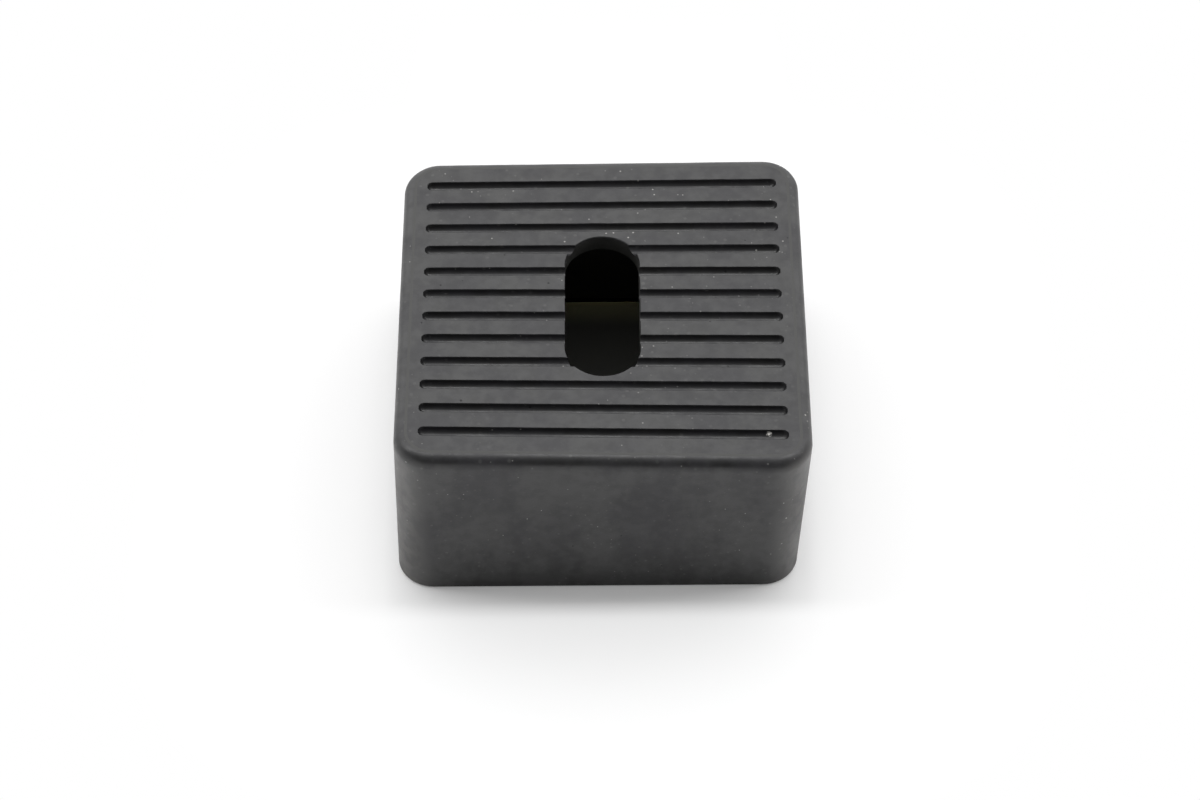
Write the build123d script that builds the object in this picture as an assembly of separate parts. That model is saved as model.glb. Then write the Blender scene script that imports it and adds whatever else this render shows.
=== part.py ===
from build123d import *
import os

# One-piece moulded rubber foot: a square cap that slips over the end of a 50 mm square leg.
# It stands here on its open rim with the ribbed tread up, the way it lies on a bench.
# Origin at the centre of the open rim, X along the tread grooves, Y along the slot, Z up.

# Body
foot_width = 55.0
foot_depth = 55.0
foot_height = 27.0
corner_radius = 5.0
tread_edge_radius = 1.8
rim_edge_radius = 0.4

# Socket for the leg, open at the bottom; its corners follow the outside at one wall's distance
wall = 2.5
plate_thickness = 2.5
least_socket_radius = 1.5
roof_radius = 1.0

# Tread grooves, a centred row
groove_pitch = 4.09
groove_width = 1.55
groove_depth = 1.0
groove_floor_radius = 0.75
groove_side_margin = 3.25
groove_row_margin = 4.7

# Slot through the plate into the socket
slot_width = 10.1
slot_length = 25.1


def rounded_block(width, depth, height, radius):
    """Upright block with rounded vertical corners, standing on the XY plane."""
    return extrude(RectangleRounded(width, depth, radius), amount=height)


def outer_body():
    """The moulding's outside: soft edge round the tread, a small one round the rim."""
    block = rounded_block(foot_width, foot_depth, foot_height, corner_radius)
    block = fillet(block.edges().group_by(Axis.Z)[-1], tread_edge_radius)
    return fillet(block.edges().group_by(Axis.Z)[0], rim_edge_radius)


def socket():
    """The hollow that the leg fills, with a rounded joint between its walls and its roof."""
    socket_radius = max(corner_radius - wall, least_socket_radius)
    hollow = rounded_block(
        foot_width - 2 * wall,
        foot_depth - 2 * wall,
        foot_height - plate_thickness,
        socket_radius,
    )
    return fillet(hollow.edges().group_by(Axis.Z)[-1], roof_radius)


def groove_cutter():
    """One mould rib: a round-ended bar with a rounded crest, hanging from the tread plane."""
    groove_length = foot_width - 2 * groove_side_margin
    bar = extrude(SlotOverall(groove_length, groove_width), amount=-groove_depth)
    return fillet(bar.edges().group_by(Axis.Z)[0], groove_floor_radius)


def groove_places():
    """Centre points of the grooves, as many as leave a plain band along both edges of the tread."""
    longest_row = foot_depth - 2 * groove_row_margin
    steps = int(longest_row / groove_pitch)
    first = steps * groove_pitch / 2
    return [(0, first - step * groove_pitch, foot_height) for step in range(steps + 1)]


def slot_cutter():
    """Round-ended slot through the plate, running past both of its faces."""
    profile = SlotOverall(slot_length, slot_width, rotation=90)
    middle_of_plate = foot_height - plate_thickness / 2
    return Pos(0, 0, middle_of_plate) * extrude(profile, amount=plate_thickness, both=True)


def rubber_foot():
    """The whole moulding."""
    foot = outer_body()
    cutter = groove_cutter()
    foot -= [Pos(*place) * cutter for place in groove_places()]
    foot -= socket()
    mouth = foot.faces().sort_by(Axis.Z)[0]
    foot = fillet(mouth.inner_wires().edges(), rim_edge_radius)
    foot -= slot_cutter()
    return foot


os.makedirs("parts", exist_ok=True)
export_step(rubber_foot(), "parts/rubber_foot.step")
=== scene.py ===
# %% [markdown]
# # A moulded rubber foot
#
# The object is a square cap of black rubber that slips over the end of a table or bench leg. It
# lies upside down, on its open rim, with its grooved tread up. The real one is a single moulding,
# so this lesson builds one watertight mesh for it, gives it a satin rubber finish with dust on
# it, and lights it on a white table as a product photographer would.
#
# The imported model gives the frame: its box, its one body and its one node. Everything below is in
# metres and in that same frame, so nothing has to be fitted afterwards.

# %% Load the frame
import math

import bmesh
import bpy
import numpy as np
from mathutils import Matrix, Vector, noise


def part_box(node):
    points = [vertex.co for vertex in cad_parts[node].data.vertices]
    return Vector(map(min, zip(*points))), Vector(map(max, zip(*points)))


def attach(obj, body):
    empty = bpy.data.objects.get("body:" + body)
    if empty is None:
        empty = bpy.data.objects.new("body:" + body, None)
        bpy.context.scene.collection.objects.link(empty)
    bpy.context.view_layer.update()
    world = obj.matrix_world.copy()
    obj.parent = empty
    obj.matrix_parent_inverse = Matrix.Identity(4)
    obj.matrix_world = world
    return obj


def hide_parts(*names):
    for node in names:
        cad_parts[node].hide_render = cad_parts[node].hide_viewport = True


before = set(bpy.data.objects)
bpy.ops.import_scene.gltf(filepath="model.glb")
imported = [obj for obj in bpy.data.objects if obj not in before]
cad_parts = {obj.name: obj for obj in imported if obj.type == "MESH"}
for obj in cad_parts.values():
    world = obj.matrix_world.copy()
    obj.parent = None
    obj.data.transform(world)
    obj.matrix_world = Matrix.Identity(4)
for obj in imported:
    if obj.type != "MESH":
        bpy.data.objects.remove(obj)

scene = bpy.context.scene
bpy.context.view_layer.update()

# %% [markdown]
# ## Sizes
#
# A moulding is best built from the few sizes that its mould has: the box, the wall, the radii,
# the grooves and the slot. The box comes from the frame. The rest is written here once, in
# metres, and every piece of the mesh is worked out from it.

# %% Sizes of the moulding
MM = 0.001

low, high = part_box("rubber_foot")
half_side = (high.x - low.x) / 2
top = high.z

corner_radius = 5.0 * MM
tread_edge_radius = 1.8 * MM
rim_edge_radius = 0.4 * MM
wall = 2.5 * MM
plate = 2.5 * MM
roof_radius = 1.0 * MM

groove_count = 12
groove_pitch = 4.09 * MM
groove_half_width = 0.775 * MM
groove_depth = 1.0 * MM
groove_floor_radius = 0.75 * MM
groove_lip_radius = 0.08 * MM
groove_side_margin = 3.25 * MM
groove_reach = half_side - groove_side_margin
first_groove_y = (groove_count - 1) * groove_pitch / 2

slot_radius = 5.05 * MM
slot_straight = 7.5 * MM
slot_lip_radius = 0.25 * MM

print("tread at", top / MM, "mm, half side", half_side / MM, "mm")

# %% [markdown]
# ## The section of a groove
#
# Each groove is the print of a round-nosed rib in the mould: nearly upright walls, a floor with
# rounded corners and a small round on each lip. One list of points, from the middle of the floor
# out to the flat land, describes it. Its offsets place the rows of the mesh and its drops give
# the heights, so the rows lie exactly where the section bends.

# %% Groove section
groove_wall_lean = 0.01 * MM
floor_steps = 6
lip_steps = 4


def arc(start, stop, steps):
    """Angles from start to stop in degrees, both included, as radians."""
    return np.radians(np.linspace(start, stop, steps + 1))


def groove_section():
    """Offsets from the groove's centre line, and how far the surface lies below the tread there."""
    floor_turn = arc(0, 90, floor_steps)
    lip_turn = arc(0, 90, lip_steps)
    floor_middle = groove_half_width - groove_floor_radius
    floor_offsets = floor_middle + groove_floor_radius * np.sin(floor_turn)
    floor_drops = groove_depth - groove_floor_radius * (1 - np.cos(floor_turn))
    lip_start = groove_half_width + groove_wall_lean
    lip_offsets = lip_start + groove_lip_radius * (1 - np.cos(lip_turn))
    lip_drops = groove_lip_radius * (1 - np.sin(lip_turn))
    offsets = np.concatenate([[0.0], floor_offsets, lip_offsets])
    drops = np.concatenate([[groove_depth], floor_drops, lip_drops])
    return offsets, drops


section_offsets, section_drops = groove_section()
groove_ys = [first_groove_y - step * groove_pitch for step in range(groove_count)]
print("section points:", len(section_offsets), "grooves:", len(groove_ys))

# %% [markdown]
# ## Rows and columns of the tread
#
# The tread could be cut with booleans, but they leave long thin faces that shade badly on a flat
# satin surface. A grid is cleaner. Its rows run along the grooves and lie close together only
# where a section bends. Its columns run front to back and lie close together at the groove ends.
# Near the slot the columns lean aside to follow the slot's outline. That spreads them out at its
# ends, so they start out close together beside it. The last rows get shorter to follow the
# rounded corners.

# %% Rows
land_gap = 0.1 * MM
least_row_gap = 0.012 * MM
slot_tip_steps = 16
corner_steps = 12
# Distances past the slot's ends, in radii of its lip
rows_past_slot = np.array([0.2, 0.5, 1, 1.6])
flat_half = half_side - tread_edge_radius
flat_radius = corner_radius - tread_edge_radius
flat_straight = flat_half - flat_radius


def tread_rows():
    """Y places of the grid's rows, from front to back."""
    rows = []
    for y in groove_ys:
        for offset in section_offsets:
            rows += [y - offset, y + offset]
        lip_end = section_offsets[-1]
        rows += [y - lip_end - land_gap, y + lip_end + land_gap]
    for y in groove_ys[:-1]:
        rows.append(y - groove_pitch / 2)
    for sign in (-1, 1):
        rows += list(sign * (slot_straight + slot_radius * np.sin(arc(0, 90, slot_tip_steps))))
        rows += list(sign * (slot_straight + slot_radius + slot_lip_radius * rows_past_slot))
        rows += list(sign * (flat_straight + flat_radius * np.sin(arc(0, 90, corner_steps))))
    return thinned(sorted(rows), least_row_gap)


def thinned(values, least):
    """The sorted values without those that lie closer than least to the one before."""
    kept = [values[0]]
    for value in values[1:]:
        if value - kept[-1] >= least:
            kept.append(value)
    return np.array(kept)


rows = tread_rows()
print("rows:", len(rows), "from", rows[0] / MM, "to", rows[-1] / MM, "mm")

# %% Columns
end_step = 0.11 * MM
plain_step = 1.2 * MM
slot_side_reach = 1.2 * MM
slot_side_step = 0.2 * MM
border_step = 0.4 * MM
# Distances from the slot's edge, in radii of its lip
columns_past_slot = np.array([0, 0.1, 0.3, 0.6, 1.0, 1.5])


def spaced(start, stop, step):
    """Even places from start to stop, both included, about one step apart."""
    return np.linspace(start, stop, max(1, round((stop - start) / step)) + 1)


def tread_columns():
    """X places of the columns on one side, from the slot's edge to the end of the flat tread."""
    slot_lip = slot_radius + slot_lip_radius * columns_past_slot
    groove_end_start = groove_reach - 2 * groove_half_width
    groove_end_stop = groove_reach + 2 * groove_lip_radius + land_gap
    slot_side = spaced(slot_lip[-1], slot_lip[-1] + slot_side_reach, slot_side_step)
    middle = spaced(slot_side[-1], groove_end_start, plain_step)
    ends = spaced(groove_end_start, groove_end_stop, end_step)
    border = spaced(groove_end_stop, flat_half, border_step)
    return np.concatenate([slot_lip, slot_side[1:], middle[1:], ends[1:], border[1:]])


columns = tread_columns()
print("columns on each side:", len(columns))

# %% [markdown]
# ## Heights
#
# The tread is a height map: at each grid point the surface lies as far below the tread plane as
# the nearest groove or the rounded lip of the slot says. The distance to a groove is measured to
# a line with two ends, and that alone makes the round groove ends.

# %% Height of the tread at a point
def slot_half_width(y):
    """Half of the slot's width at a row, which is zero past its ends."""
    beyond = max(abs(y) - slot_straight, 0.0)
    return math.sqrt(max(slot_radius**2 - beyond**2, 0.0))


def flat_half_width(y):
    """Half of the flat tread's width at a row, less at the rounded corners."""
    beyond = max(abs(y) - flat_straight, 0.0)
    return flat_straight + math.sqrt(max(flat_radius**2 - beyond**2, 0.0))


def tread_drop(x, y):
    """How far the surface lies below the tread plane at a point."""
    beyond_end = max(abs(x) - groove_reach + groove_half_width, 0.0)
    to_groove = min(math.hypot(beyond_end, y - groove_y) for groove_y in groove_ys)
    drop = float(np.interp(to_groove, section_offsets, section_drops))
    to_slot = math.hypot(x, max(abs(y) - slot_straight, 0.0)) - slot_radius
    if to_slot < slot_lip_radius:
        inset = slot_lip_radius - max(to_slot, 0.0)
        lip_drop = slot_lip_radius - math.sqrt(slot_lip_radius**2 - inset**2)
        drop = max(drop, lip_drop)
    return drop


# %% Grid points
slot_bend_reach = 4.0 * MM


def row_points(y):
    """The right half of one row, from the slot or the middle to the flat tread's edge."""
    bend = np.clip(1 - (columns - slot_radius) / slot_bend_reach, 0, 1)
    xs = columns + (slot_half_width(y) - slot_radius) * bend
    xs = xs * (flat_half_width(y) / flat_half)
    return [Vector((x, y, top - tread_drop(x, y))) for x in xs]


right_grid = [row_points(y) for y in rows]
left_grid = [[Vector((-p.x, p.y, p.z)) for p in row] for row in right_grid]
print("grid points:", 2 * len(rows) * len(columns))

# %% [markdown]
# ## The walls, the rim and the socket
#
# Everything outside the flat tread is one strip that runs round the foot. Its section goes over
# the tread's rounded edge, down the outside, round the rim, up the inside and into the roof. Each
# loop of the strip is the tread's own outline moved outwards or inwards, so the corners stay true
# arcs and every loop has as many points as the one before.

# %% Section of the wall
edge_turns = np.radians([3, 12, 21, 30, 39, 48, 57, 66, 75, 83, 90])
rim_steps = 4
roof_steps = 5
bend_gap = 0.3 * MM
outside_step = 2.4 * MM
inside_step = 7 * MM


def wall_section():
    """Moves outwards from the flat tread's outline, each with its height, from tread to roof."""
    outer = tread_edge_radius
    inner = outer - wall
    roof = top - plate
    moves = []
    for turn in edge_turns:
        moves.append((outer * math.sin(turn), top - outer * (1 - math.cos(turn))))
    for z in spaced(top - outer - bend_gap, rim_edge_radius + bend_gap, -outside_step):
        moves.append((outer, z))
    for turn in arc(0, 90, rim_steps):
        inset = rim_edge_radius * (1 - math.cos(turn))
        moves.append((outer - inset, rim_edge_radius * (1 - math.sin(turn))))
    for turn in arc(0, 90, rim_steps):
        inset = rim_edge_radius * (1 - math.sin(turn))
        moves.append((inner + inset, rim_edge_radius * (1 - math.cos(turn))))
    for z in spaced(rim_edge_radius + bend_gap, roof - roof_radius - bend_gap, inside_step):
        moves.append((inner, z))
    for turn in arc(0, 90, roof_steps):
        inset = roof_radius * (1 - math.cos(turn))
        moves.append((inner - inset, roof - roof_radius * (1 - math.sin(turn))))
    return moves


wall_moves = wall_section()
print("loops round the wall:", len(wall_moves))

# %% [markdown]
# ## One closed mesh
#
# Solid modifiers and booleans could join the tread to the walls, but here the vertices are simply
# shared: the grid's border starts the strip round the foot, the slot's border starts the slot's
# walls, and one fill closes the roof between them. Each face also gets its finish as it is made,
# the outer skin or the untouched inside, so nothing has to be picked out later.

# %% The closed mesh
outer_finish = 0
inner_finish = 1
least_parting = 0.001 * MM
slot_wall_step = 0.5 * MM


def grid_vertices(mesh):
    """Vertices of both halves of the tread, sharing the middle ones where there is no slot."""
    right = [[mesh.verts.new(p) for p in row] for row in right_grid]
    left = []
    for row, points, y in zip(right, left_grid, rows):
        first = mesh.verts.new(points[0]) if slot_half_width(y) > least_parting else row[0]
        left.append([first] + [mesh.verts.new(p) for p in points[1:]])
    return right, left


def face_strip(mesh, near, far, closed=False, finish=outer_finish):
    """Four-sided faces between two rows of as many vertices."""
    count = len(near)
    for i in range(count if closed else count - 1):
        k = (i + 1) % count
        mesh.faces.new((near[i], near[k], far[k], far[i])).material_index = finish


def outward(point):
    """Unit direction straight out from a point on the edge of the flat tread."""
    over_x = max(abs(point.x) - flat_straight, 0.0)
    over_y = max(abs(point.y) - flat_straight, 0.0)
    return Vector((math.copysign(over_x, point.x), math.copysign(over_y, point.y), 0)).normalized()


def tread_border(right, left):
    """The tread's outer vertices, once round."""
    front = list(reversed(left[0][1:])) + right[0]
    back = list(reversed(right[-1])) + left[-1][1:]
    right_side = [row[-1] for row in right[1:-1]]
    left_side = [row[-1] for row in reversed(left[1:-1])]
    return front + right_side + back + left_side


def slot_border(right, left):
    """The vertices round the slot, once round."""
    parted = [i for i in range(len(rows)) if left[i][0] is not right[i][0]]
    tips = [parted[0] - 1] + parted + [parted[-1] + 1]
    return [right[i][0] for i in tips] + [left[i][0] for i in reversed(parted)]


def add_walls(mesh, border):
    """The strip round the foot; returns its last loop, where the roof begins."""
    starts = [(v.co.copy(), outward(v.co)) for v in border]
    loop = border
    for offset, z in wall_moves:
        points = [start + out * offset for start, out in starts]
        following = [mesh.verts.new((p.x, p.y, z)) for p in points]
        finish = inner_finish if offset < tread_edge_radius - wall / 2 else outer_finish
        face_strip(mesh, loop, following, closed=True, finish=finish)
        loop = following
    return loop


def add_slot_walls(mesh, border):
    """The slot's upright walls; returns their lower loop, in the roof."""
    loop = border
    for z in spaced(top - groove_depth - bend_gap, top - plate, -slot_wall_step):
        following = [mesh.verts.new((v.co.x, v.co.y, z)) for v in border]
        face_strip(mesh, loop, following, closed=True, finish=inner_finish)
        loop = following
    return loop


def moulding():
    """The whole foot as one closed mesh."""
    mesh = bmesh.new()
    right, left = grid_vertices(mesh)
    for half in (right, left):
        for near, far in zip(half, half[1:]):
            face_strip(mesh, near, far)
    roof_edge = add_walls(mesh, tread_border(right, left))
    slot_edge = add_slot_walls(mesh, slot_border(right, left))
    hole = list({edge for v in roof_edge + slot_edge for edge in v.link_edges if edge.is_boundary})
    roof = bmesh.ops.triangle_fill(mesh, use_beauty=True, edges=hole)
    for face in roof["geom"]:
        if isinstance(face, bmesh.types.BMFace):
            face.material_index = inner_finish
    bmesh.ops.recalc_face_normals(mesh, faces=mesh.faces)
    return mesh


foot_mesh = moulding()
open_edges = sum(1 for edge in foot_mesh.edges if not edge.is_manifold)
triangles = sum(len(face.verts) - 2 for face in foot_mesh.faces)
volume = foot_mesh.calc_volume() / MM**3
print("triangles:", triangles, "open edges:", open_edges, "volume mm3:", volume)

# %% [markdown]
# ## The set of the rubber
#
# Soft rubber never stays quite true. This foot leans almost a millimetre to the right and is a
# little wider at its tread than at its rim, and its tread is twisted, low at the front right.
# These are small enough to leave the sizes alone, but they move the outline by several pixels, so
# the mesh gets them as a slow shear, a spread and a twist that grow from the rim to the tread.
# The front and back walls bulge a hair past the last grooves. The groove edges also wander a
# little.

# %% Lean, twist and wander
lean_right = 0.89 * MM
twist_drop = 2.12 * MM
twist_centre = 0.3
flare = 0.0102
end_bulge = 0.15 * MM
bulge_start = first_groove_y + groove_half_width
wander = 0.035 * MM
wander_wave = 2.2 * MM
wander_depth = 1.5 * MM
wander_full = wander_depth / 3
middle_rise = 0.5


def share(value, start, stop):
    """How far a value has gone from start to stop, held between 0 and 1."""
    return min(max((value - start) / (stop - start), 0.0), 1.0)


def settled(p):
    """Where a point of the true moulding lies on the soft one."""
    rise = p.z / top
    above_middle = rise - middle_rise
    forward = twist_centre - p.y / (2 * half_side)
    sideways = p.x / (2 * half_side)
    bulge = end_bulge * rise * share(abs(p.y), bulge_start, half_side)
    near_tread = share(p.z, top - wander_depth, top - wander_full)
    drift = noise.noise_vector(p / wander_wave) * wander * near_tread
    return Vector((
        p.x * (1 + flare * above_middle) + lean_right * above_middle + drift.x,
        p.y + math.copysign(bulge, p.y) + drift.y,
        p.z - twist_drop * rise * forward * sideways,
    ))


for vertex in foot_mesh.verts:
    vertex.co = settled(vertex.co)
print("highest point of the settled tread:", max(v.co.z for v in foot_mesh.verts) / MM, "mm")

# %% The foot as an object
sharp_edge = math.radians(40)

foot_data = bpy.data.meshes.new("rubber_foot_moulding")
foot_mesh.to_mesh(foot_data)
foot_mesh.free()
for polygon in foot_data.polygons:
    polygon.use_smooth = True
foot_data.set_sharp_from_angle(angle=sharp_edge)
foot = bpy.data.objects.new("rubber_foot_moulding", foot_data)
scene.collection.objects.link(foot)
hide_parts("rubber_foot")
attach(foot, "root")

# %% [markdown]
# ## Effects that both finishes share
#
# The outer skin and the inside are the same rubber, touched in different ways, so their effects
# are node groups with their own values in each material. The mould leaves a fine grain. Handling
# leaves smudges. Dust falls as separate grains, and the same group with other values makes pits
# and lint. A grain of dust is a cell of a Voronoi texture: its centre is the grain, and one of
# the cell's random numbers decides whether the grain is there at all, which keeps the scatter
# uneven.

# %% Helpers for node trees
def add_node(tree, kind, **settings):
    """A new node with its settings, such as its operation."""
    made = tree.nodes.new("ShaderNode" + kind)
    for name, value in settings.items():
        setattr(made, name, value)
    return made


def feed(tree, socket, source):
    """Gives an input a constant or the output of another node."""
    if isinstance(source, bpy.types.NodeSocket):
        tree.links.new(source, socket)
    else:
        socket.default_value = source


def calculate(tree, operation, first, second=0.0, clamp=False):
    """The result of one Math node."""
    made = add_node(tree, "Math", operation=operation, use_clamp=clamp)
    feed(tree, made.inputs[0], first)
    feed(tree, made.inputs[1], second)
    return made.outputs[0]


def smooth_ramp(tree, value, from_low, from_high, to_low=0.0, to_high=1.0):
    """A value eased from one pair of limits to another."""
    made = add_node(tree, "MapRange", interpolation_type="SMOOTHSTEP")
    labels = ("Value", "From Min", "From Max", "To Min", "To Max")
    for label, source in zip(labels, (value, from_low, from_high, to_low, to_high)):
        feed(tree, made.inputs[label], source)
    return made.outputs["Result"]


def new_group(name, inputs, output):
    """An empty node group with a place, some numbers and one output value."""
    group = bpy.data.node_groups.new(name, "ShaderNodeTree")
    group.interface.new_socket("Place", in_out="INPUT", socket_type="NodeSocketVector")
    for label in inputs:
        group.interface.new_socket(label, in_out="INPUT", socket_type="NodeSocketFloat")
    group.interface.new_socket(output, in_out="OUTPUT", socket_type="NodeSocketFloat")
    given = group.nodes.new("NodeGroupInput").outputs
    result = group.nodes.new("NodeGroupOutput").inputs
    return group, given, result


# %% Group of specks
least_grain = 0.4
grain_core = 0.5


def make_specks():
    """Separate round grains, Spacing metres apart and up to Size metres in radius.

    Share runs from 0 for none to 1 for a grain in every cell. A high Contrast leaves most faint.
    """
    group, given, result = new_group("specks", ("Spacing", "Size", "Share", "Contrast"), "Mask")
    cells = add_node(group, "TexVoronoi")
    feed(group, cells.inputs["Vector"], given["Place"])
    feed(group, cells.inputs["Scale"], calculate(group, "DIVIDE", 1.0, given["Spacing"]))
    random = add_node(group, "SeparateColor")
    feed(group, random.inputs[0], cells.outputs["Color"])
    present = calculate(group, "LESS_THAN", random.outputs["Red"], given["Share"])
    growth = smooth_ramp(group, random.outputs["Green"], 0.0, 1.0, least_grain, 1.0)
    largest = calculate(group, "DIVIDE", given["Size"], given["Spacing"])
    radius = calculate(group, "MULTIPLY", largest, growth)
    core = calculate(group, "MULTIPLY", radius, grain_core)
    grain = smooth_ramp(group, cells.outputs["Distance"], radius, core)
    strength = calculate(group, "POWER", random.outputs["Blue"], given["Contrast"])
    there = calculate(group, "MULTIPLY", grain, present)
    feed(group, result["Mask"], calculate(group, "MULTIPLY", there, strength))
    return group


specks = make_specks()
print("group:", specks.name, [item.name for item in specks.interface.items_tree])


# %% Groups of smudges and mould grain
cloud_detail = 3.0
cloud_roughness = 0.6
cloud_low = 0.3
cloud_high = 0.7
grain_detail = 2.0
grain_roughness = 0.7


def make_smudges():
    """Cloudy patches from 0 to 1, Width metres across and drawn out downwards by Stretch."""
    group, given, result = new_group("smudges", ("Width", "Stretch"), "Amount")
    drawn = add_node(group, "CombineXYZ")
    split = add_node(group, "SeparateXYZ")
    feed(group, split.inputs[0], given["Place"])
    feed(group, drawn.inputs["X"], split.outputs["X"])
    feed(group, drawn.inputs["Y"], split.outputs["Y"])
    feed(group, drawn.inputs["Z"], calculate(group, "DIVIDE", split.outputs["Z"], given["Stretch"]))
    cloud = add_node(group, "TexNoise")
    feed(group, cloud.inputs["Vector"], drawn.outputs[0])
    feed(group, cloud.inputs["Scale"], calculate(group, "DIVIDE", 1.0, given["Width"]))
    cloud.inputs["Detail"].default_value = cloud_detail
    cloud.inputs["Roughness"].default_value = cloud_roughness
    feed(group, result["Amount"], smooth_ramp(group, cloud.outputs[0], cloud_low, cloud_high))
    return group


def make_grain():
    """The fine uneven skin that a sand-blasted mould prints, as a height from 0 to 1."""
    group, given, result = new_group("mould_grain", ("Grain",), "Height")
    skin = add_node(group, "TexNoise")
    feed(group, skin.inputs["Vector"], given["Place"])
    feed(group, skin.inputs["Scale"], calculate(group, "DIVIDE", 1.0, given["Grain"]))
    skin.inputs["Detail"].default_value = grain_detail
    skin.inputs["Roughness"].default_value = grain_roughness
    feed(group, result["Height"], skin.outputs[0])
    return group


smudges = make_smudges()
mould_grain = make_grain()
print("groups:", smudges.name, mould_grain.name)

# %% [markdown]
# ## The outer skin
#
# Black rubber is almost without colour: carbon swallows the light, and what shows is the gloss of
# a satin skin. So the base colour is close to black, and the satin comes from a middling
# roughness and a slightly high index, since the carbon raises it. A paler base colour would be
# the easy way to make it grey, but then the grooves would turn grey too, and in the photo they
# are deep black. The top and upper walls carry a thin cloudy haze, which fades out towards the
# rim; that fade is painted shade, darker rubber low on the walls. The corners of all four walls
# get a paler colour, painted sheen where they catch the light. Dust, lint and pits lie over both.
# One tuft of lint is caught at the right end of the last groove, so it is placed there with the
# distance to a point.

# %% Helpers for materials
# A Mix node has sockets for every kind of data, and these are the ones for colours
mix_share = 0
mix_below = 6
mix_above = 7
mix_colour = 2


def place_group(tree, group, place, **values):
    """Puts a node group in a material with its own values and gives its output."""
    made = add_node(tree, "Group", node_tree=group)
    feed(tree, made.inputs["Place"], place)
    for name, value in values.items():
        feed(tree, made.inputs[name], value)
    return made.outputs[0]


def blend_colour(tree, amount, below, above):
    """One colour laid over another by an amount."""
    made = add_node(tree, "Mix", data_type="RGBA")
    feed(tree, made.inputs[mix_share], amount)
    feed(tree, made.inputs[mix_below], below)
    feed(tree, made.inputs[mix_above], above)
    return made.outputs[mix_colour]


def shifted(tree, place, offset, scale=(1.0, 1.0, 1.0)):
    """The same place moved and drawn out, so that a second layer falls elsewhere."""
    made = add_node(tree, "Mapping")
    feed(tree, made.inputs["Vector"], place)
    made.inputs["Location"].default_value = offset
    made.inputs["Scale"].default_value = scale
    return made.outputs[0]


def new_material(name):
    """A material with its node tree, its shader and the object's own coordinates."""
    material = bpy.data.materials.new(name)
    material.use_nodes = True
    tree = material.node_tree
    place = add_node(tree, "TexCoord").outputs["Object"]
    return material, tree, tree.nodes["Principled BSDF"], place


# %% Outer skin
gathered_shift = (0.05, 0.02, 0.07)

skin, tree, shader, place = new_material("black_rubber_skin")
axes = add_node(tree, "SeparateXYZ")
feed(tree, axes.inputs[0], place)
grain = place_group(tree, mould_grain, place, Grain=0.3 * MM)
smudge = place_group(tree, smudges, place, Width=5 * MM, Stretch=2.0)
mottle = place_group(tree, smudges, place, Width=1.6 * MM, Stretch=1.0)
gathered_place = shifted(tree, place, gathered_shift)
gathered = place_group(tree, smudges, gathered_place, Width=9 * MM, Stretch=1.0)
print("skin layers so far:", len(tree.nodes), "nodes")

# %% Dust, lint and pits on the outer skin
spot_shift = (0.023, 0.011, 0.019)
lint_shift = (0.013, 0.007, 0.003)
lint_draw = (0.25, 1.0, 1.0)
pit_shift = (0.031, 0.017, 0.011)
least_crowd = 0.1

crowd = smooth_ramp(tree, gathered, 0.0, 1.0, least_crowd, 1.0)
dust = place_group(
    tree, specks, place, Spacing=0.9 * MM, Size=0.16 * MM, Share=crowd, Contrast=4.4
)
spot_place = shifted(tree, place, spot_shift)
spots = place_group(
    tree, specks, spot_place, Spacing=1.0 * MM, Size=0.35 * MM, Share=crowd, Contrast=1.0
)
lint_place = shifted(tree, place, lint_shift, lint_draw)
lint = place_group(
    tree, specks, lint_place, Spacing=1.5 * MM, Size=0.11 * MM, Share=0.25, Contrast=2.0
)
pit_place = shifted(tree, place, pit_shift)
pits = place_group(
    tree, specks, pit_place, Spacing=3.0 * MM, Size=0.24 * MM, Share=0.35, Contrast=0.5
)
print("skin layers with dust:", len(tree.nodes), "nodes")

# %% Tuft in the last groove, and all that has fallen
tuft_place = (22.25 * MM, -21.75 * MM, 25.7 * MM)
tuft_reach = 0.5 * MM
tuft_full = 0.2 * MM
core_reach = 0.3 * MM
core_full = 0.15 * MM
frayed_from = 0.4
frayed_full = 0.7
lint_strength = 0.5
spot_strength = 0.08

tuft = add_node(tree, "VectorMath", operation="DISTANCE")
feed(tree, tuft.inputs[0], place)
feed(tree, tuft.inputs[1], tuft_place)
tuft_core = smooth_ramp(tree, tuft.outputs["Value"], core_reach, core_full)
tuft_edge = smooth_ramp(tree, tuft.outputs["Value"], tuft_reach, tuft_full)
fibres = place_group(tree, smudges, place, Width=0.3 * MM, Stretch=1.0)
frayed = smooth_ramp(tree, fibres, frayed_from, frayed_full)
fallen = calculate(tree, "MAXIMUM", dust, calculate(tree, "MULTIPLY", lint, lint_strength))
tuft_share = calculate(tree, "MAXIMUM", tuft_core, calculate(tree, "MULTIPLY", tuft_edge, frayed))
fallen = calculate(tree, "MAXIMUM", fallen, tuft_share)
grime = calculate(tree, "MAXIMUM", fallen, calculate(tree, "MULTIPLY", spots, spot_strength))
print("skin layers with the tuft:", len(tree.nodes), "nodes")

# %% Painted sheen near the corners
# A paler colour on the corners of the walls: painted sheen where the corners catch the light
sheen_from = 22 * MM
sheen_side_from = 14 * MM
sheen_under = 24.5 * MM
sheen_over = 26.3 * MM
sheen_least = 0.5

sideways = calculate(tree, "ABSOLUTE", axes.outputs["X"])
endways = calculate(tree, "ABSOLUTE", axes.outputs["Y"])
to_corner = smooth_ramp(tree, sideways, sheen_from, half_side)
to_end = smooth_ramp(tree, endways, sheen_side_from, sheen_from)
near_corner = calculate(tree, "MULTIPLY", to_corner, to_end)
on_wall = smooth_ramp(tree, axes.outputs["Z"], sheen_over, sheen_under)
sheen_share = smooth_ramp(tree, mottle, 0.0, 1.0, sheen_least, 1.0)
corner_sheen = calculate(tree, "MULTIPLY", calculate(tree, "MULTIPLY", near_corner, on_wall), sheen_share)
print("skin layers with the film:", len(tree.nodes), "nodes")

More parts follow.
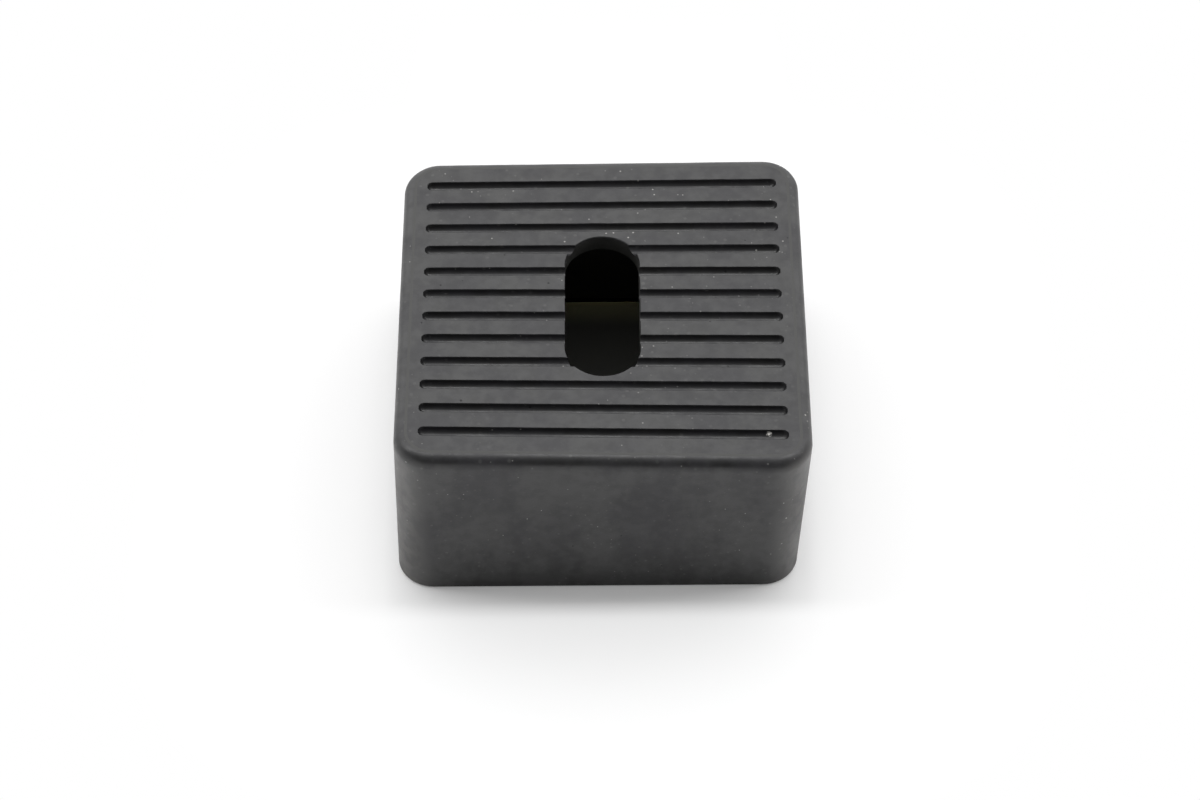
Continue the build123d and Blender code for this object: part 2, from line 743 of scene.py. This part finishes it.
# %% Colour of the outer skin
carbon_black = (0.003, 0.003, 0.003, 1)
haze_grey = (0.0108, 0.0104, 0.0128, 1)
# Paler grey of the painted sheen on the corners
sheen_grey = (0.085, 0.0816, 0.0782, 1)
dust_grey = (0.31, 0.303, 0.288, 1)
tuft_white = (0.9, 0.88, 0.84, 1)
# The haze fades out towards the rim: painted shade that makes the rubber low on the walls darker
rim_shade_height = 14 * MM

rim_shade_fade = smooth_ramp(tree, axes.outputs["Z"], 0.0, rim_shade_height)
haze_with_rim_shade = calculate(tree, "MULTIPLY", smudge, rim_shade_fade)
hazed_with_rim_shade = blend_colour(tree, haze_with_rim_shade, carbon_black, haze_grey)
# Painted sheen laid over the hazed rubber near the corners
sheened = blend_colour(tree, corner_sheen, hazed_with_rim_shade, sheen_grey)
dusted = blend_colour(tree, grime, sheened, dust_grey)
tufted = blend_colour(tree, tuft_share, dusted, tuft_white)
feed(tree, shader.inputs["Base Color"], blend_colour(tree, pits, tufted, carbon_black))
print("skin layers with their colours:", len(tree.nodes), "nodes")

# %% Gloss and relief of the outer skin
rubber_index = 1.6
tread_roughness = 0.42
wall_roughness = 0.49
wall_skin_below = 16 * MM
tread_skin_above = 25 * MM
roughness_swing = 0.05
plain_gloss = 0.5
gloss_swing = 0.075
cloud_share = 0.5
pit_gloss_loss = 0.35
pit_depth = 2.0
skin_relief = 0.012 * MM

matt = smooth_ramp(
    tree, axes.outputs["Z"], wall_skin_below, tread_skin_above, wall_roughness, tread_roughness
)
swing = smooth_ramp(tree, smudge, 0.0, 1.0, -roughness_swing, roughness_swing)
feed(tree, shader.inputs["Roughness"], calculate(tree, "ADD", matt, swing))
clouds = [calculate(tree, "MULTIPLY", cloud, cloud_share) for cloud in (smudge, mottle)]
cloudy = calculate(tree, "ADD", *clouds)
gloss = smooth_ramp(tree, cloudy, 0.0, 1.0, plain_gloss + gloss_swing, plain_gloss - gloss_swing)
gloss = calculate(tree, "SUBTRACT", gloss, calculate(tree, "MULTIPLY", pits, pit_gloss_loss))
feed(tree, shader.inputs["Specular IOR Level"], gloss)

hollows = calculate(tree, "MULTIPLY", pits, pit_depth)
raised = calculate(tree, "SUBTRACT", calculate(tree, "ADD", grain, fallen), hollows)
relief = add_node(tree, "Bump")
relief.inputs["Distance"].default_value = skin_relief
feed(tree, relief.inputs["Height"], raised)
feed(tree, shader.inputs["Normal"], relief.outputs[0])
shader.inputs["IOR"].default_value = rubber_index
foot_data.materials.append(skin)
print("outer skin:", len(tree.nodes), "nodes")

# %% [markdown]
# ## The inside
#
# Nobody touches the socket, and nothing rubs it. It keeps the dull bloom of the release powder,
# so it has the same groups with a rougher, slightly greyer skin and almost no dust. It shows only
# through the slot here, but it is what someone sees who turns the foot over.

# %% Inside
bloom_dark = (0.014, 0.014, 0.013, 1)
bloom_pale = (0.03, 0.03, 0.028, 1)
inside_roughness = 0.55

inside, tree, shader, place = new_material("black_rubber_inside")
grain = place_group(tree, mould_grain, place, Grain=0.4 * MM)
bloom = place_group(tree, smudges, place, Width=9 * MM, Stretch=1.0)
dust = place_group(tree, specks, place, Spacing=2.6 * MM, Size=0.12 * MM, Share=0.15, Contrast=1.0)
bloomed = blend_colour(tree, bloom, bloom_dark, bloom_pale)
feed(tree, shader.inputs["Base Color"], blend_colour(tree, dust, bloomed, dust_grey))
smoothest = inside_roughness - roughness_swing
roughest = inside_roughness + roughness_swing
feed(tree, shader.inputs["Roughness"], smooth_ramp(tree, bloom, 0.0, 1.0, smoothest, roughest))
relief = add_node(tree, "Bump")
relief.inputs["Distance"].default_value = skin_relief
feed(tree, relief.inputs["Height"], calculate(tree, "ADD", grain, dust))
feed(tree, shader.inputs["Normal"], relief.outputs[0])
shader.inputs["IOR"].default_value = rubber_index
foot_data.materials.append(inside)
print("inside:", len(tree.nodes), "nodes")

# %% [markdown]
# ## The table
#
# The photo's table is a white surface that the light washes out, apart from the shadow close to
# the foot. More light would wash it out too, but it would also wash out the rubber. Here the
# table is plain white and takes the true shadow. For the rays that the camera and glossy surfaces
# see, it is painted lighter close to the foot and beside it, painted light that thins that shadow,
# and it goes over to pure white as it gets further from the foot. A low curved edge far away
# hides its end in low views. The patch that the foot covers is painted shade, darker than the
# table; towards the far wall it turns paler and olive, painted light, and a band under that wall
# is painted black shadow. That is what shows through the slot.

# %% Table
flat_table = 1500 * MM
cove_radius = 350 * MM
cove_turn = arc(0, 80, 8)
flat_shares = (0.1, 0.4, 1.0)
round_points = 96


def table_rings():
    """Radius and height of the table's rings, from the flat part up the curved edge."""
    flat = [(flat_table * part, 0.0) for part in flat_shares]
    cove = []
    for turn in cove_turn[1:]:
        radius = flat_table + cove_radius * math.sin(turn)
        cove.append((radius, cove_radius * (1 - math.cos(turn))))
    return flat + cove


def table_surface():
    """A round table with a curved edge."""
    mesh = bmesh.new()
    rings = []
    turns = [math.tau * step / round_points for step in range(round_points)]
    for radius, height in table_rings():
        points = [(radius * math.cos(turn), radius * math.sin(turn), height) for turn in turns]
        rings.append([mesh.verts.new(point) for point in points])
    mesh.faces.new(rings[0])
    for near, far in zip(rings, rings[1:]):
        face_strip(mesh, near, far, closed=True)
    bmesh.ops.recalc_face_normals(mesh, faces=mesh.faces)
    return mesh


table_mesh = table_surface()
table_data = bpy.data.meshes.new("table")
table_mesh.to_mesh(table_data)
table_mesh.free()
table = bpy.data.objects.new("table", table_data)
scene.collection.objects.link(table)
print("table rings:", len(table_rings()), "faces:", len(table_data.polygons))

# %% Table material
table_white = (0.95, 0.95, 0.95, 1)
table_roughness = 0.9
table_gloss = 0.0
# Colours of the patch under the foot: dark grey painted shade, paler olive painted light towards
# the far wall, black painted shadow under the wall
covered_painted_shade = (0.26, 0.26, 0.24, 1)
olive_painted_light = (0.95, 0.9, 0.56, 1)
wall_painted_shadow = (0.004, 0.004, 0.004, 1)
covered_inset = 2.0 * MM
covered_half = half_side - covered_inset
olive_from = 19.5 * MM
olive_to = 24.55 * MM
# Painted light on the table round the foot, stronger beside it, which thins the foot's shadow for
# the rays that see it
painted_light_at_foot = 0.1
painted_light_beside_foot = 0.36
painted_light_reach = 8 * MM
side_painted_light = 0.25
side_painted_light_reach = 3 * MM
white_from = 9 * MM
white_reach = 60 * MM


def beyond_foot(tree, coordinate):
    """How far a coordinate lies past the foot's side, 0 if it doesn't."""
    past = calculate(tree, "SUBTRACT", calculate(tree, "ABSOLUTE", coordinate), half_side)
    return calculate(tree, "MAXIMUM", past, 0.0)


white, tree, shader, place = new_material("white_table")
split = add_node(tree, "SeparateXYZ")
feed(tree, split.inputs[0], place)
across = beyond_foot(tree, split.outputs["X"])
along = beyond_foot(tree, split.outputs["Y"])
squares = [calculate(tree, "POWER", part, 2.0) for part in (across, along)]
away = calculate(tree, "SQRT", calculate(tree, "ADD", *squares))
painted_light_near_foot = smooth_ramp(tree, away, 0.0, painted_light_reach, painted_light_at_foot, painted_light_beside_foot)
far_lift = smooth_ramp(tree, away, white_from, white_reach, 0.0, 1 - painted_light_beside_foot)

reaches = [calculate(tree, "ABSOLUTE", split.outputs[axis]) for axis in ("X", "Y")]
widest = calculate(tree, "MAXIMUM", *reaches)
covered = calculate(tree, "LESS_THAN", widest, covered_half)
# Painted light and shade under the foot: paler olive towards the far wall, black painted shadow
# under the wall, dark grey painted shade elsewhere
olive_light_share = smooth_ramp(tree, split.outputs["Y"], olive_from, olive_to)
in_wall_painted_shadow = calculate(tree, "GREATER_THAN", split.outputs["Y"], olive_to)
patch = blend_colour(tree, olive_light_share, covered_painted_shade, olive_painted_light)
under = blend_colour(tree, in_wall_painted_shadow, patch, wall_painted_shadow)
feed(tree, shader.inputs["Base Color"], blend_colour(tree, covered, table_white, under))
shader.inputs["Roughness"].default_value = table_roughness
shader.inputs["Specular IOR Level"].default_value = table_gloss

light_path = add_node(tree, "LightPath")
to_camera = light_path.outputs["Is Camera Ray"]
seen = calculate(tree, "ADD", to_camera, light_path.outputs["Is Glossy Ray"], clamp=True)
seen = calculate(tree, "ADD", seen, light_path.outputs["Is Transmission Ray"], clamp=True)
open_table = calculate(tree, "SUBTRACT", 1.0, covered)
# Painted light on the table beside the foot, added to the painted light near it and to the far
# white
painted_light_at_sides = smooth_ramp(tree, across, 0.0, side_painted_light_reach, 0.0, side_painted_light)
lift = calculate(tree, "ADD", calculate(tree, "MULTIPLY", painted_light_near_foot, to_camera), painted_light_at_sides)
lift = calculate(tree, "ADD", lift, far_lift, clamp=True)
lift = calculate(tree, "MULTIPLY", lift, open_table)
glow = add_node(tree, "Emission")
washed = add_node(tree, "MixShader")
feed(tree, washed.inputs[0], calculate(tree, "MULTIPLY", seen, lift))
feed(tree, washed.inputs[1], shader.outputs[0])
feed(tree, washed.inputs[2], glow.outputs[0])
feed(tree, tree.nodes["Material Output"].inputs["Surface"], washed.outputs[0])
table_data.materials.append(white)
print("table material:", len(tree.nodes), "nodes")

# %% [markdown]
# ## Light
#
# The photo tells how it was lit. A thin dark line of shadow lies only in front of the foot, so
# the main light is a long narrow strip just behind straight overhead. The flat tread mirrors
# something broad and bright behind, perhaps a window or a white wall, and the rounded front edge
# mirrors the dim side where the camera stands. A sky built of smooth ramps gives the last two
# without any edges that would show as stripes in a satin skin.

# %% Overhead strip
strip_elevation = math.radians(83.4)
strip_distance = 1.0
strip_length = 3.0
strip_width = 0.11
strip_power = 9.0

strip_data = bpy.data.lights.new("overhead_strip", "AREA")
strip_data.shape = "RECTANGLE"
strip_data.size = strip_length
strip_data.size_y = strip_width
strip_data.energy = strip_power
strip = bpy.data.objects.new("overhead_strip", strip_data)
to_strip = Vector((0, math.cos(strip_elevation), math.sin(strip_elevation)))
strip.location = to_strip * strip_distance
strip.rotation_mode = "QUATERNION"
strip.rotation_quaternion = (-to_strip).to_track_quat("-Z", "Y")
scene.collection.objects.link(strip)

# %% Sky of soft ramps
dim_front = 0.19
bright_back = 1.36
back_from = 0.1
back_full = 0.6
side_light = 0.35
side_from = 0.35
side_full = 0.8
overhead_glow = 0.36
glow_from = 0.5
glow_full = 0.94
glow_elevation = math.radians(75)
sky_white = (1, 1, 1, 1)

studio = bpy.data.worlds.new("studio")
scene.world = studio
studio.use_nodes = True
tree = studio.node_tree
direction = add_node(tree, "TexCoord").outputs["Generated"]
split = add_node(tree, "SeparateXYZ")
feed(tree, split.inputs[0], direction)
towards_glow = add_node(tree, "VectorMath", operation="DOT_PRODUCT")
feed(tree, towards_glow.inputs[0], direction)
feed(tree, towards_glow.inputs[1], (0, math.cos(glow_elevation), math.sin(glow_elevation)))

back = smooth_ramp(tree, split.outputs["Y"], back_from, back_full, 0.0, bright_back)
sideways = calculate(tree, "ABSOLUTE", split.outputs["X"])
sides = smooth_ramp(tree, sideways, side_from, side_full, 0.0, side_light)
above = smooth_ramp(tree, towards_glow.outputs["Value"], glow_from, glow_full, 0.0, overhead_glow)
round_about = calculate(tree, "ADD", back, sides)
level = calculate(tree, "ADD", round_about, calculate(tree, "ADD", above, dim_front))
sky = tree.nodes["Background"]
sky.inputs["Color"].default_value = sky_white
feed(tree, sky.inputs["Strength"], level)
print("sky:", len(tree.nodes), "nodes")

# %% [markdown]
# ## Camera
#
# The camera stands where the photographer stood: half a metre away, looking down at fifty degrees
# with a long lens. Its place was worked out from the outline, the grooves, the slot and the
# bottom edges of the foot in the photo. It is kept here as a distance, a rise and a tilt, because
# those are what a photographer would change.

# %% Camera
photo_width = 1200
focal_pixels = 3326.8
sensor_width = 36.0
elevation = 0.87319
tilt = -0.007083
distance = 451.56 * MM
aside = -0.0024 * MM
above_centre = 12.918 * MM
clip_near = 0.01
clip_far = 10

side_axis = Vector((1, 0, 0))
up_axis = Vector((0, math.sin(elevation), math.cos(elevation)))
look_axis = Vector((0, math.cos(elevation), -math.sin(elevation)))
camera_right = side_axis * math.cos(tilt) + up_axis * math.sin(tilt)
camera_up = up_axis * math.cos(tilt) - side_axis * math.sin(tilt)
eye = Vector((0, 0, top)) - side_axis * aside - up_axis * above_centre - look_axis * distance

camera_data = bpy.data.cameras.new("photo_camera")
camera_data.sensor_width = sensor_width
camera_data.lens = focal_pixels * sensor_width / photo_width
camera_data.clip_start = clip_near
camera_data.clip_end = clip_far
camera = bpy.data.objects.new("photo_camera", camera_data)
facing = Matrix((camera_right, camera_up, -look_axis)).transposed().to_4x4()
camera.matrix_world = Matrix.Translation(eye) @ facing
scene.collection.objects.link(camera)
scene.camera = camera
scene.view_settings.view_transform = "Standard"
eye_mm = tuple(round(value / MM, 1) for value in eye)
print("camera at", eye_mm, "mm, lens", round(camera_data.lens, 1), "mm")
